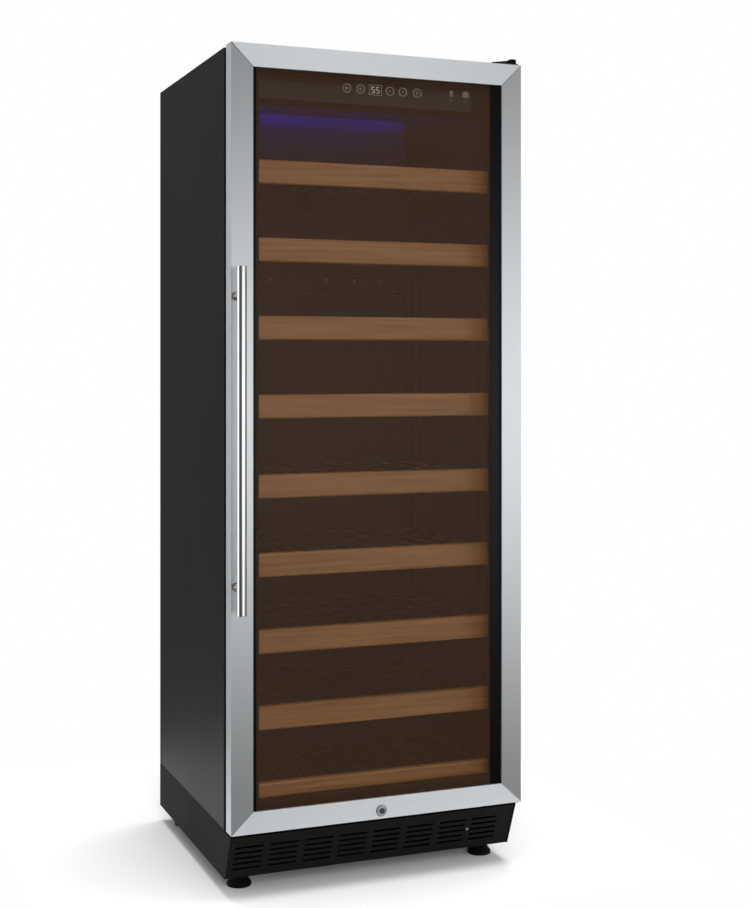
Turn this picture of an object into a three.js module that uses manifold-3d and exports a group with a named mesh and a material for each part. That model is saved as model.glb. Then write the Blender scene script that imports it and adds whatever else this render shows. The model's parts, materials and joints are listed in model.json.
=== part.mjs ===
// A tall single-zone wine cooler: a foamed steel cabinet on a louvred base, a glass door in a mitred
// steel frame, nine sliding shelves, and the cooling machinery.
// Units are millimetres. +Z is up, +X is to the right of someone facing the door, and -Y is towards
// that person. The origin is on the floor, under the middle of the whole machine.

import * as THREE from 'three';
import { mergeVertices } from 'three/addons/utils/BufferGeometryUtils.js';
import Module from 'manifold-3d';

const wasm = await Module();
wasm.setup();

// ---------------------------------------------------------------- driving dimensions

const gap = 0.3; // air left between two pieces that touch
const half = 345; // half the width of the door and of the cabinet

// Front to back.
const doorFront = -295;
const cabinetFront = -240;
const cabinetRear = 343;

// Floor to top.
const baseBottom = 38;
const deckTop = 138; // top of the base where it runs forward under the door
const seam = 143; // joint between the base and the cabinet
const doorBottom = 145;
const cabinetTop = 1833;

// Door.
const doorHeight = 1690;
const frameDepth = 38;
const doorDepth = 43;
const frameSkin = 1.5;
const stileFace = 49.5;
const topRailFace = 50;
const bottomRailFace = 47;
const paneInset = 34; // from the door's edge to the edge of the glass
const paneFront = 6;
const paneThickness = 4;
const paneSpacing = 12;
const gasketDepth = cabinetFront - doorFront - doorDepth;

// Hinge axis, and the pins on it.
const hingeX = 332;
const hingeY = -275;
const pinRadius = 4;
const pinHole = 4.6;
const pinReach = 22;

// Handle and lock.
const barRadius = 10.5;
const barX = -332.5;
const barStandOff = 37.5;
const barBottom = 474;
const barLength = 737;
const postRadius = 7;
const postHeights = [530, 1149];
const lockHeight = 17.5;
const lockFlange = 12;
const lockBarrel = 9.5;
const lockPlug = 6.5;
const camReach = 32;

// Cabinet walls and the cold space in them.
const sheet = 1.2;
const sideFlange = 25;
const cavityHalf = 305;
const cavityFloor = 197;
const cavityCeiling = 1790;
const cavityRear = 298;
const stepFront = 82; // the cold space steps up here, over the machine compartment
const stepTop = 352;
const linerWall = 2;
const compartmentFront = 120;
const compartmentTop = 315;

// Shelves.
const shelfTops = [1597, 1426, 1255, 1082, 907, 735, 567, 400, 232];
const shelfFront = -233;
const shelfHalf = 291.5;
const boardHeight = 52;
const lowBoardHeight = 32;
const boardThickness = 20;
const wire = 5;
const wireDrop = 7; // from the board's top edge down to the wires
const shelfDepth = 450;
const lowShelfDepth = 305;
const ledgeReach = 35;

// Base, feet and machinery.
const toeTop = -287;
const toeBottom = -243;
const toeThickness = 2;
const baseRight = half - 11; // the base is narrower beside the lower hinge
const footPlaces = [[-293, -180], [293, -180], [-293, 285], [293, 285]];
const studRadius = 5;

// ---------------------------------------------------------------- finishes

function finish(color, roughness, metalness, opacity = 1) {
  return new THREE.MeshStandardMaterial({ color, roughness, metalness, opacity, transparent: opacity < 1 });
}

const brushedSteel = finish(0xb9bbbd, 0.32, 1);
const polishedSteel = finish(0xd2d3d4, 0.12, 1);
const blackSteel = finish(0x242423, 0.42, 0.3);
const baseSteel = finish(0x2a2a29, 0.45, 0.3);
const zincSteel = finish(0x9a9c9d, 0.5, 0.9);
const blackPlastic = finish(0x131311, 0.55, 0);
const linerPlastic = finish(0x1b1a19, 0.4, 0);
const tintedGlass = finish(0x6a5238, 0.04, 0, 0.4);
const sealRubber = finish(0x16150f, 0.8, 0);
const beech = finish(0x9a6a3c, 0.5, 0);
const blackWire = finish(0x18181a, 0.4, 0.4);
const foam = finish(0xd8c98c, 0.9, 0);
const aluminium = finish(0xb6b9bb, 0.4, 1);
const copper = finish(0xa8643c, 0.35, 1);
const lightLens = finish(0x5a6ad8, 0.3, 0);

// ---------------------------------------------------------------- shapes

// A box between two corners.
function block(x0, x1, y0, y1, z0, z1) {
  const box = new THREE.BoxGeometry(x1 - x0, y1 - y0, z1 - z0);
  return box.translate((x0 + x1) / 2, (y0 + y1) / 2, (z0 + z1) / 2);
}

// A round rod centred on a point, along 'x', 'y' or 'z'.
function rod(radius, length, axis, x, y, z, sides = 24) {
  const cylinder = new THREE.CylinderGeometry(radius, radius, length, sides);
  if (axis === 'x') cylinder.rotateZ(Math.PI / 2);
  if (axis === 'z') cylinder.rotateX(Math.PI / 2);
  return cylinder.translate(x, y, z);
}

// An outline in Y and Z, carried along X from x0 to x1.
function prismAlongX(points, x0, x1) {
  const shape = new THREE.Shape(points.map(([y, z]) => new THREE.Vector2(y, z)));
  const solid = new THREE.ExtrudeGeometry(shape, { depth: x1 - x0, bevelEnabled: false });
  const turn = new THREE.Matrix4().makeBasis(
    new THREE.Vector3(0, 1, 0), new THREE.Vector3(0, 0, 1), new THREE.Vector3(1, 0, 0));
  return solid.applyMatrix4(turn).translate(x0, 0, 0);
}

// An outline in X and Z, carried along Y from y0 to y1.
function prismAlongY(points, y0, y1) {
  const shape = new THREE.Shape(points.map(([x, z]) => new THREE.Vector2(x, z)));
  const solid = new THREE.ExtrudeGeometry(shape, { depth: y1 - y0, bevelEnabled: false });
  return solid.rotateX(Math.PI / 2).translate(0, y1, 0);
}

// An outline in X and Y, carried up along Z from z0 to z1.
function prismAlongZ(points, z0, z1) {
  const shape = new THREE.Shape(points.map(([x, y]) => new THREE.Vector2(x, y)));
  return new THREE.ExtrudeGeometry(shape, { depth: z1 - z0, bevelEnabled: false }).translate(0, 0, z0);
}

// A profile of [radius, height] pairs turned round the Z axis.
function turned(profile, sides) {
  const lathe = new THREE.LatheGeometry(profile.map(([r, z]) => new THREE.Vector2(r, z)), sides);
  return lathe.rotateX(Math.PI / 2);
}

function toSolid(geometry) {
  const bare = geometry.clone();
  bare.deleteAttribute('normal');
  bare.deleteAttribute('uv');
  const merged = mergeVertices(bare, 1e-4);
  return new wasm.Manifold(new wasm.Mesh({
    numProp: 3,
    vertProperties: Float32Array.from(merged.attributes.position.array),
    triVerts: Uint32Array.from(merged.index.array),
  }));
}

function toGeometry(solid) {
  const mesh = solid.getMesh();
  const geometry = new THREE.BufferGeometry();
  geometry.setAttribute('position', new THREE.BufferAttribute(new Float32Array(mesh.vertProperties), 3));
  geometry.setIndex(new THREE.BufferAttribute(new Uint32Array(mesh.triVerts), 1));
  geometry.computeVertexNormals();
  return geometry;
}

function join(...geometries) {
  return toGeometry(geometries.map(toSolid).reduce((whole, piece) => whole.add(piece)));
}

function cut(geometry, ...tools) {
  return toGeometry(tools.map(toSolid).reduce((rest, tool) => rest.subtract(tool), toSolid(geometry)));
}

function overlapOf(geometry, other) {
  return toGeometry(toSolid(geometry).intersect(toSolid(other)));
}

// A rectangular ring, standing in X and Z.
function ring(outerHalf, outerLow, outerHigh, innerHalf, innerLow, innerHigh, y0, y1) {
  return cut(
    block(-outerHalf, outerHalf, y0, y1, outerLow, outerHigh),
    block(-innerHalf, innerHalf, y0 - 1, y1 + 1, innerLow, innerHigh));
}

const cooler = new THREE.Group();

function part(name, geometry, material, parent = cooler) {
  const mesh = new THREE.Mesh(geometry, material);
  mesh.name = name;
  parent.add(mesh);
  return mesh;
}

function groupAt(x, y, z, parent = cooler) {
  const group = new THREE.Group();
  group.position.set(x, y, z);
  parent.add(group);
  return group;
}

// ---------------------------------------------------------------- door frame and glass
// The door has its own frame: x = 0 in its middle, y = 0 on its front face, z = 0 at its lower edge.

const door = groupAt(0, doorFront, doorBottom);

const hingePinHole = (z0, z1) => rod(pinHole, z1 - z0, 'z', hingeX, hingeY - doorFront, (z0 + z1) / 2, 16);
const lockHole = rod(lockBarrel + gap, 80, 'y', 0, 20, lockHeight);

// One side of the folded steel frame, as long as the door, before its ends are mitred. It has a face,
// an outer wall, and a short lip that hides the edge of the glass.
function stile(side) {
  const outer = side * half;
  const inner = side * (half - stileFace);
  const span = (a, b, y0, y1) => block(Math.min(a, b), Math.max(a, b), y0, y1, 0, doorHeight);
  return join(
    span(outer, inner, 0, frameSkin),
    span(outer, outer - side * frameSkin, 0, frameDepth),
    span(inner + side * frameSkin, inner, 0, paneFront));
}

function rail(outer, inner) {
  const inward = Math.sign(inner - outer);
  const span = (a, b, y0, y1) => block(-half, half, y0, y1, Math.min(a, b), Math.max(a, b));
  return join(
    span(outer, inner, 0, frameSkin),
    span(outer, outer + inward * frameSkin, 0, frameDepth),
    span(inner - inward * frameSkin, inner, 0, paneFront));
}

// The mitres run from the outer corners of the door to the inner corners of the frame.
function mitredStile(side) {
  const outer = side * half;
  const inner = side * (half - stileFace);
  const region = [[outer, gap], [inner, bottomRailFace + gap],
    [inner, doorHeight - topRailFace - gap], [outer, doorHeight - gap]];
  return overlapOf(stile(side), prismAlongY(side < 0 ? region : region.reverse(), -1, frameDepth + 1));
}

function mitredRail(outer, inner) {
  const innerHalf = half - stileFace;
  const region = [[-half, outer], [-innerHalf, inner], [innerHalf, inner], [half, outer]];
  return overlapOf(rail(outer, inner), prismAlongY(outer > inner ? region : region.reverse(), -1, frameDepth + 1));
}

part('door_frame_left', mitredStile(-1), brushedSteel, door);
part('door_frame_right', mitredStile(1), brushedSteel, door);
part('door_frame_top', cut(mitredRail(doorHeight, doorHeight - topRailFace),
  hingePinHole(doorHeight - 10, doorHeight + 10)), brushedSteel, door);
part('door_frame_bottom', cut(mitredRail(0, bottomRailFace), hingePinHole(-10, 10), lockHole), brushedSteel, door);

// The black plastic core inside the steel: it holds the glass in a pocket and carries the hinge pins.
const coreEdge = frameSkin + gap;
const paneBack = paneFront + gap + 2 * paneThickness + paneSpacing;
const coreWindowHalf = 283;
const coreWindowLow = 60;
const coreWindowHigh = 1636;
part('door_inner_frame', cut(
  ring(half - coreEdge, coreEdge, doorHeight - coreEdge, coreWindowHalf, coreWindowLow, coreWindowHigh,
    coreEdge, doorDepth),
  block(paneInset - half, half - paneInset, -1, paneBack + gap, paneInset, doorHeight - paneInset),
  hingePinHole(doorHeight - pinReach - 2, doorHeight + 5),
  hingePinHole(-5, pinReach + 2),
  lockHole), blackPlastic, door);

function pane(front) {
  const edge = paneInset + gap;
  return block(edge - half, half - edge, front, front + paneThickness, edge, doorHeight - edge);
}

const outerPaneFront = paneFront + gap;
const innerPaneFront = outerPaneFront + paneThickness + paneSpacing;
part('outer_glass', pane(outerPaneFront), tintedGlass, door);
part('inner_glass', pane(innerPaneFront), tintedGlass, door);

const borderHalf = 279.5; // the clear part of the glass, inside its black border
const borderLow = 62.5;
const borderHigh = 1633;
part('glass_spacer', ring(305, 40, doorHeight - 40, borderHalf, borderLow, borderHigh,
  outerPaneFront + paneThickness + gap, innerPaneFront - gap), blackPlastic, door);

const gasketOuter = 334;
const gasketInner = 312;
part('door_gasket', ring(gasketOuter, 26, doorHeight - 11, gasketInner, 50, doorHeight - 35,
  doorDepth + gap, doorDepth + gasketDepth - gap), sealRubber, door);

// ---------------------------------------------------------------- handle and lock

part('handle_bar', rod(barRadius, barLength, 'z', barX, -barStandOff, barBottom + barLength / 2),
  polishedSteel, door);

const postLength = barStandOff - barRadius - 2 * gap;
const postNames = ['handle_post_lower', 'handle_post_upper'];
postHeights.forEach((height, index) => {
  part(postNames[index], rod(postRadius, postLength, 'y', barX, -gap - postLength / 2, height, 16),
    polishedSteel, door);
});

// The lock is modelled round its own axis, which runs front to back.
const lock = groupAt(0, 0, lockHeight, door);
const flangeThickness = 2.7;
const camBack = 49;
const camThickness = 3;
part('lock_body', cut(
  join(
    rod(lockFlange, flangeThickness, 'y', 0, -gap - flangeThickness / 2, 0),
    rod(lockBarrel, doorDepth, 'y', 0, doorDepth / 2 - flangeThickness, 0)),
  rod(lockPlug + gap, 120, 'y', 0, 0, 0)), polishedSteel, lock);

const plugFront = -gap - flangeThickness;
part('lock_plug', cut(
  join(
    rod(lockPlug, camBack - plugFront, 'y', 0, (camBack + plugFront) / 2, 0),
    block(-6, camReach, camBack - camThickness, camBack, -6, 6)),
  block(-0.6, 0.6, plugFront - 1, plugFront + 6, -4, 4)), polishedSteel, lock);

// ---------------------------------------------------------------- hinges

const hingePlate = 4;
const topPlateZ = doorBottom + doorHeight + 1;
const topArmEnd = -150;
const topArmReach = 50; // how far the upper hinge spreads from its pin along the door
part('top_hinge', join(
  block(hingeX - topArmReach, hingeX + 12, hingeY - 8, topArmEnd, topPlateZ, topPlateZ + hingePlate),
  block(hingeX - topArmReach, hingeX + 12, cabinetFront + 5, topArmEnd, cabinetTop + gap, topPlateZ + 1),
  rod(pinRadius, pinReach, 'z', hingeX, hingeY, topPlateZ + 1 - pinReach / 2, 16)), blackSteel);

// The cap over the top hinge: a round nose over the pin, and a wedge that thins out along the door.
const capLow = topPlateZ + hingePlate + gap;
const capHigh = 1850;
part('top_hinge_cover', join(
  rod(9, capHigh - capLow, 'z', hingeX, hingeY, (capHigh + capLow) / 2),
  prismAlongY([[hingeX - topArmReach, capLow], [hingeX + 11, capLow], [hingeX + 11, capHigh - 3],
    [hingeX - 4, capHigh - 1.5], [hingeX - topArmReach, capLow + 1.5]], hingeY, topArmEnd)), blackPlastic);

const bottomPlateZ = deckTop + 3 + gap; // just over the side wall of the base
const bottomPlate = 3;
const bottomPlateEnd = cabinetFront - gap;
part('bottom_hinge', join(
  block(hingeX - 14, hingeX + 11, hingeY - 12, bottomPlateEnd, bottomPlateZ, bottomPlateZ + bottomPlate),
  block(hingeX - 14, hingeX + 11, bottomPlateEnd - 3, bottomPlateEnd, bottomPlateZ, bottomPlateZ + 25),
  rod(pinRadius, pinReach + 2, 'z', hingeX, hingeY, bottomPlateZ + 1 + (pinReach + 2) / 2, 16)), blackSteel);

// ---------------------------------------------------------------- cabinet shell

// A side sheet, folded in at the front and at the back.
function sidePanel(side) {
  const rearFlange = 15;
  const at = (reach) => side * (half - reach);
  const outline = [
    [at(0), cabinetFront], [at(sideFlange), cabinetFront], [at(sideFlange), cabinetFront + sheet],
    [at(sheet), cabinetFront + sheet], [at(sheet), cabinetRear - sheet],
    [at(rearFlange), cabinetRear - sheet], [at(rearFlange), cabinetRear], [at(0), cabinetRear]];
  return prismAlongZ(outline, seam + gap, cabinetTop - sheet - gap);
}
part('left_side_panel', sidePanel(-1), blackSteel);
part('right_side_panel', sidePanel(1), blackSteel);

// The lid lies over the side sheets and is folded down at the front, between their flanges.
const liningTop = 1799.5;
const insideSheet = half - sheet - gap;
const betweenFlanges = half - sideFlange - gap;
part('top_panel', join(
  block(-half, half, cabinetFront, cabinetRear, cabinetTop - sheet, cabinetTop),
  block(-betweenFlanges, betweenFlanges, cabinetFront, cabinetFront + sheet,
    liningTop + gap, cabinetTop - sheet / 2)), blackSteel);

part('rear_panel', block(-(half - 15 - gap), half - 15 - gap, cabinetRear - sheet, cabinetRear,
  compartmentTop + gap, cabinetTop - sheet - gap), zincSteel);

// The floor of the cabinet: flat at the front, then up and over the machine compartment.
const sillTop = 169.7;
const floorZ = seam + gap;
part('bottom_panel', prismAlongX([
  [cabinetFront, floorZ],
  [compartmentFront, floorZ],
  [compartmentFront, compartmentTop - sheet],
  [cabinetRear - sheet - gap, compartmentTop - sheet],
  [cabinetRear - sheet - gap, compartmentTop],
  [compartmentFront - sheet, compartmentTop],
  [compartmentFront - sheet, floorZ + sheet],
  [cabinetFront + sheet, floorZ + sheet],
  [cabinetFront + sheet, sillTop],
  [cabinetFront, sillTop],
], -betweenFlanges, betweenFlanges), zincSteel);

// The outline of the cold space, grown by a wall thickness; its front end is where frontY says.
function coldOutline(grow, frontY) {
  return [
    [frontY, cavityFloor - grow],
    [stepFront + grow, cavityFloor - grow],
    [stepFront + grow, stepTop - grow],
    [cavityRear + grow, stepTop - grow],
    [cavityRear + grow, cavityCeiling + grow],
    [frontY, cavityCeiling + grow],
  ];
}

const linerHalf = cavityHalf + linerWall;
part('inner_liner', cut(
  join(
    prismAlongX(coldOutline(linerWall, cabinetFront), -linerHalf, linerHalf),
    block(-betweenFlanges, betweenFlanges, cabinetFront, cabinetFront + linerWall,
      sillTop + gap, liningTop)),
  prismAlongX(coldOutline(0, cabinetFront - 1), -cavityHalf, cavityHalf)), linerPlastic);

// The foam fills the space between the liner and the shell.
const foamFront = cabinetFront + linerWall + gap;
const foamRear = cabinetRear - sheet - gap;
part('foam_insulation', cut(
  prismAlongX([
    [foamFront, floorZ + sheet + gap],
    [compartmentFront - sheet - gap, floorZ + sheet + gap],
    [compartmentFront - sheet - gap, compartmentTop + gap],
    [foamRear, compartmentTop + gap],
    [foamRear, cabinetTop - sheet - gap],
    [foamFront, cabinetTop - sheet - gap],
  ], -insideSheet, insideSheet),
  prismAlongX(coldOutline(linerWall + gap, foamFront - 1), -(linerHalf + gap), linerHalf + gap)), foam);

// ---------------------------------------------------------------- inside the cold space

// The ladders that the shelves slide on, one on each side wall.
const ladderSheet = 2;
const ladderFront = -205;
const ladderRear = 235;
const ledgeTops = shelfTops.map((top) => top - wireDrop - wire - gap);

function ladder(side) {
  const wall = side * (cavityHalf - gap);
  const span = (reach, y0, y1, z0, z1) => block(
    Math.min(wall, wall - side * reach), Math.max(wall, wall - side * reach), y0, y1, z0, z1);
  const uprightTop = ledgeTops[0] + 40;
  const uprights = [
    span(ladderSheet, ladderFront + 5, ladderFront + 35, cavityFloor + gap, uprightTop),
    span(ladderSheet, ladderRear - 35, ladderRear - 5, stepTop + gap, uprightTop),
  ];
  const ledges = ledgeTops.map((top, index) => span(ledgeReach, ladderFront,
    index < shelfTops.length - 1 ? ladderRear : stepFront - 5, top - ladderSheet, top));
  return join(...uprights, ...ledges);
}
part('left_shelf_ladder', ladder(-1), blackWire);
part('right_shelf_ladder', ladder(1), blackWire);

// The control panel's housing hangs from the ceiling behind the top of the door glass.
const panelFront = -236;
const panelRear = -150;
const panelLow = 1730;
const panelWall = 3;
const panelHalf = cavityHalf - gap;
const panelHigh = cavityCeiling - gap;
part('control_panel', join(
  block(-panelHalf, panelHalf, panelFront, panelFront + panelWall, panelLow, panelHigh),
  block(-panelHalf, panelHalf, panelFront, panelRear, panelLow, panelLow + panelWall),
  block(-panelHalf, -panelHalf + panelWall, panelFront, panelRear, panelLow, panelHigh),
  block(panelHalf - panelWall, panelHalf, panelFront, panelRear, panelLow, panelHigh)), blackPlastic);

part('light_strip', prismAlongX([
  [panelRear + gap, panelHigh - 6],
  [panelRear + 6, panelHigh - 14],
  [panelRear + 16, panelHigh - 14],
  [panelRear + 20, panelHigh],
  [panelRear + gap, panelHigh],
], -270, 270), lightLens);

// A rotor with tilted blades, turned round Y.
function rotor(hubRadius, tipRadius, depth, blades) {
  const hub = rod(hubRadius, depth, 'y', 0, 0, 0, 16);
  const wings = Array.from({ length: blades }, (_, index) => {
    const wing = new THREE.BoxGeometry(tipRadius * 0.62, 1.6, tipRadius - hubRadius + 4);
    wing.rotateZ(THREE.MathUtils.degToRad(28));
    wing.translate(0, 0, (tipRadius + hubRadius - 4) / 2);
    return wing.rotateY((index * 2 * Math.PI) / blades);
  });
  return join(hub, ...wings);
}

// The cold coil, its fan, and the cover that hides them against the back wall.
const coverFront = 245;
const coverLow = 1330;
const coverHigh = 1750;
const coverHalf = 285;
const coverWall = 2;
const coldFan = { x: 0, y: 268, z: 1600, radius: 62 };
part('evaporator_cover', cut(
  block(-coverHalf, coverHalf, coverFront, cavityRear - gap, coverLow, coverHigh),
  block(-coverHalf + coverWall, coverHalf - coverWall, coverFront + coverWall, cavityRear + 1,
    coverLow + coverWall, coverHigh - coverWall),
  rod(coldFan.radius + 5, 20, 'y', coldFan.x, coverFront, coldFan.z, 32),
  ...[-220, -130, -40, 50, 140].map((x) => block(x, x + 80, coverFront - 1, coverFront + 5,
    coverLow + 30, coverLow + 38))), linerPlastic);

const coilFins = 7;
const coilHalf = 230;
const finPitch = (2 * coilHalf - 2) / (coilFins - 1);
part('evaporator', join(
  ...Array.from({ length: coilFins }, (_, index) => block(
    -coilHalf + index * finPitch, -coilHalf + index * finPitch + 2, 270, 295, 1345, 1500)),
  ...[1375, 1422, 1470].map((z) => rod(5, 2 * coilHalf + 24, 'x', 0, 282, z, 6))), aluminium);

const coldRotor = part('evaporator_fan', rotor(18, coldFan.radius, 22, 5), blackPlastic);
coldRotor.position.set(coldFan.x, coldFan.y, coldFan.z);

// ---------------------------------------------------------------- shelves
// Each shelf has its own frame: y = 0 on the front of its board, z = 0 at the board's top edge.

// A board with its long front edges eased.
function board(height) {
  const ease = 2.5;
  return prismAlongX([
    [ease, 0], [0, -ease], [0, ease - height], [ease, -height],
    [boardThickness, -height], [boardThickness, 0],
  ].reverse(), -shelfHalf, shelfHalf);
}

// A flat rack of crossing bars: a plate with a grid of bays cut out of it.
function rack(depth) {
  const bays = 9;
  const rows = 2;
  const edge = 8;
  const front = boardThickness + gap;
  const bayWidth = (2 * (shelfHalf - edge) - (bays - 1) * wire) / bays;
  const rowDepth = (depth - front - 2 * edge - (rows - 1) * wire) / rows;
  const openings = [];
  for (let bay = 0; bay < bays; bay += 1) {
    for (let row = 0; row < rows; row += 1) {
      const x = -shelfHalf + edge + bay * (bayWidth + wire);
      const y = front + edge + row * (rowDepth + wire);
      openings.push(block(x, x + bayWidth, y, y + rowDepth, -wireDrop - wire - 1, -wireDrop + 1));
    }
  }
  return cut(block(-shelfHalf, shelfHalf, front, depth, -wireDrop - wire, -wireDrop), ...openings);
}

const boardShape = board(boardHeight);
const lowBoardShape = board(lowBoardHeight);
const rackShape = rack(shelfDepth);
const lowRackShape = rack(lowShelfDepth);
shelfTops.forEach((top, index) => {
  const low = index === shelfTops.length - 1;
  const shelf = groupAt(0, shelfFront, top);
  part(`shelf_front_${index + 1}`, low ? lowBoardShape : boardShape, beech, shelf);
  part(`shelf_rack_${index + 1}`, low ? lowRackShape : rackShape, blackWire, shelf);
});

// ---------------------------------------------------------------- base and feet

// A tray of folded steel: a floor and two side walls that follow the slope of the toe board.
function baseFrame() {
  const wall = (step) => [
    [toeBottom - 3, baseBottom], [cabinetRear, baseBottom], [cabinetRear, seam], [step, seam],
    [step, deckTop + 3], [toeTop - 3, deckTop + 3]];
  const studHoles = footPlaces.map(([x, y]) => rod(studRadius + 0.6, 20, 'z', x, y, baseBottom, 12));
  const airHoles = [-140, 0, 140].map((x) => block(x - 50, x + 50, 20, 60, baseBottom - 1, baseBottom + 5));
  return cut(
    join(
      prismAlongX(wall(cabinetFront - 1), -half, -half + frameSkin),
      prismAlongX(wall(cabinetFront), baseRight - frameSkin, baseRight),
      block(-half, baseRight, toeBottom + 5, cabinetRear, baseBottom, baseBottom + frameSkin)),
    ...studHoles, ...airHoles);
}
part('base_frame', baseFrame(), baseSteel);

// The sloping toe board, with five rows of slots, and its deck that the lock's cam drops through.
const toeLeft = -half + frameSkin + gap;
const toeRight = baseRight - frameSkin - gap;
const slotLength = 64;
const slotPitch = 80;
const slotColumns = 8;
const slotCentre = -18;
const slotHeight = 4.5;
const slotRows = [110, 97, 84, 71, 58];
function toeGrille() {
  const toeFoot = baseBottom + gap;
  const slots = [];
  for (let column = 0; column < slotColumns; column += 1) {
    const x = slotCentre + (column - (slotColumns - 1) / 2) * slotPitch;
    slotRows.forEach((z) => slots.push(
      block(x - slotLength / 2, x + slotLength / 2, toeTop - 5, toeBottom + 4, z, z + slotHeight)));
  }
  return cut(
    prismAlongX([
      [toeTop, deckTop], [toeBottom, toeFoot], [toeBottom + toeThickness, toeFoot],
      [toeTop + toeThickness + 1, deckTop - toeThickness], [cabinetFront - 1, deckTop - toeThickness],
      [cabinetFront - 1, deckTop],
    ], toeLeft, toeRight),
    ...slots,
    block(-9, camReach - 2, -252, -243, deckTop - 10, deckTop + 10));
}
part('toe_grille', toeGrille(), blackPlastic);

const footProfile = [
  [0, 0], [25, 0], [27.5, 3], [27, 8], [21, 17], [17.5, 25], [19, baseBottom - gap],
  [studRadius, baseBottom - gap], [studRadius, 72], [0, 72]];
const footNames = ['foot_front_left', 'foot_front_right', 'foot_rear_left', 'foot_rear_right'];
footPlaces.forEach(([x, y], index) => {
  part(footNames[index], turned(footProfile, 16), blackPlastic).position.set(x, y, 0);
});

// ---------------------------------------------------------------- machine compartment

// The closed motor compressor: a welded pot on a foot plate, with its discharge stub.
const pot = { x: -170, y: 232 };
const potFloor = baseBottom + frameSkin + gap;
const compressor = join(
  turned([[0, 6], [55, 6], [68, 16], [74, 40], [74, 120], [66, 150], [40, 170], [0, 176]], 20),
  block(-95, 95, -60, 60, 0, 8),
  rod(5, 60, 'z', 45, 30, 160, 8));
part('compressor', compressor, blackSteel).position.set(pot.x, pot.y, potFloor);

// The hot coil: two end plates and rows of tube, beside the compressor.
const coilRows = [76, 116, 156, 196];
const coilPlates = [120, 165, 210, 255, 300];
part('condenser', join(
  ...coilPlates.map((x) => block(x, x + 2, 150, 210, potFloor, 220)),
  ...coilRows.map((z) => rod(6, 196, 'x', 211, 180, z, 6))), copper);

// The fan that draws air through the hot coil, in its shroud.
const hotFan = { x: 211, y: 252, z: 136, radius: 66 };
part('fan_shroud', cut(
  join(
    block(hotFan.x - 82, hotFan.x + 82, hotFan.y - 12, hotFan.y + 22, potFloor, hotFan.z + 84),
    rod(20, 40, 'y', hotFan.x, hotFan.y + 42, hotFan.z, 16)),
  rod(hotFan.radius + 5, 27, 'y', hotFan.x, hotFan.y - 1.5, hotFan.z, 32),
  ...[-1, 1].flatMap((sideX) => [-1, 1].map((sideZ) => block(
    hotFan.x + sideX * 30 - 24, hotFan.x + sideX * 30 + 24, hotFan.y, hotFan.y + 40,
    hotFan.z + sideZ * 30 - 24, hotFan.z + sideZ * 30 + 24)))), zincSteel);
const hotRotor = part('condenser_fan', rotor(18, hotFan.radius, 20, 5), blackPlastic);
hotRotor.position.set(hotFan.x, hotFan.y - 1.5, hotFan.z);

// The louvred steel cover over the back of the compartment, with the grommet of the mains inlet.
const coverSlots = [90, 115, 140, 165, 190, 215, 240, 265];
part('service_cover', cut(
  join(
    block(-(half - 15 - gap), half - 15 - gap, cabinetRear - sheet, cabinetRear,
      baseBottom + frameSkin + gap, compartmentTop - gap),
    rod(11, 8, 'y', -290, cabinetRear - 4, 80, 16)),
  rod(5, 40, 'y', -290, cabinetRear, 80, 12),
  ...coverSlots.flatMap((z) => [-230, -70, 90].map((x) => block(
    x, x + 140, cabinetRear - 10, cabinetRear + 10, z, z + 7)))), zincSteel);

export default cooler;
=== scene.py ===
# %% [markdown]
# # A tall wine cooler
# A black steel cabinet stands on a louvred base. Its glass door hangs in a brushed steel frame, and behind
# the bronze-tinted glass nine sliding shelves with beech boards carry the bottles.
#
# The solid model is loaded first and is never moved. Each step below either gives one of its pieces a real
# finish, or builds a finer piece that stands in for it: rounded folds, round wires, screws and symbols.

# %% Load the solid model and keep its outer box
import json
import math

import bmesh
import bpy
from mathutils import Matrix, Vector


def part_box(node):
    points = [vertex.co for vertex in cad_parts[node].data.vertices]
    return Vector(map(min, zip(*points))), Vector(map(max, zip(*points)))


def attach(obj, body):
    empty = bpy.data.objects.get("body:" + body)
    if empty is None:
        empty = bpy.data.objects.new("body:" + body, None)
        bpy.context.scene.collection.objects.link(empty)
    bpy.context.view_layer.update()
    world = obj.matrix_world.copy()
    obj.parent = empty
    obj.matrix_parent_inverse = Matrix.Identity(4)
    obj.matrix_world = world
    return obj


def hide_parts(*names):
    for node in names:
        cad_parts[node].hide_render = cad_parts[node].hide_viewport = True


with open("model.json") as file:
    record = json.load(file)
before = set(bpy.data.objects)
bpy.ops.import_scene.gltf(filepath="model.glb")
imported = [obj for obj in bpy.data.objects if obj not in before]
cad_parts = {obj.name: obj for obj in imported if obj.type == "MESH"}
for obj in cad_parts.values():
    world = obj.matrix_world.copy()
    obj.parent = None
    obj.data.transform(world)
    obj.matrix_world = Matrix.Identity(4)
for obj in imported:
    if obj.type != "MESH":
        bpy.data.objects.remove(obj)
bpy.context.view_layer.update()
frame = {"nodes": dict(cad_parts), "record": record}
scene = bpy.context.scene
MM = 0.001

# %% [markdown]
# ## Camera
# The machine is seen from the front and a little from the left, from chest height, with a lens long enough
# to keep its proportions calm. The camera is level, so upright edges stay parallel. Moving the frame down
# instead of tilting the camera is what an architect's shift lens does.

# %% Place the camera
LENS_MM = 59.07
CAMERA_PLACE = Vector((-1.2312, -3.3476, 1.1514))
CAMERA_TURN = math.radians(21.71)
FRAME_SHIFT = -0.1001

camera = bpy.data.objects.new("camera", bpy.data.cameras.new("camera"))
camera.data.lens = LENS_MM
camera.data.shift_y = FRAME_SHIFT
camera.location = CAMERA_PLACE
camera.rotation_euler = (math.radians(90), 0, -CAMERA_TURN)
scene.collection.objects.link(camera)
scene.camera = camera
print("camera", tuple(round(c, 3) for c in camera.location))

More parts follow.
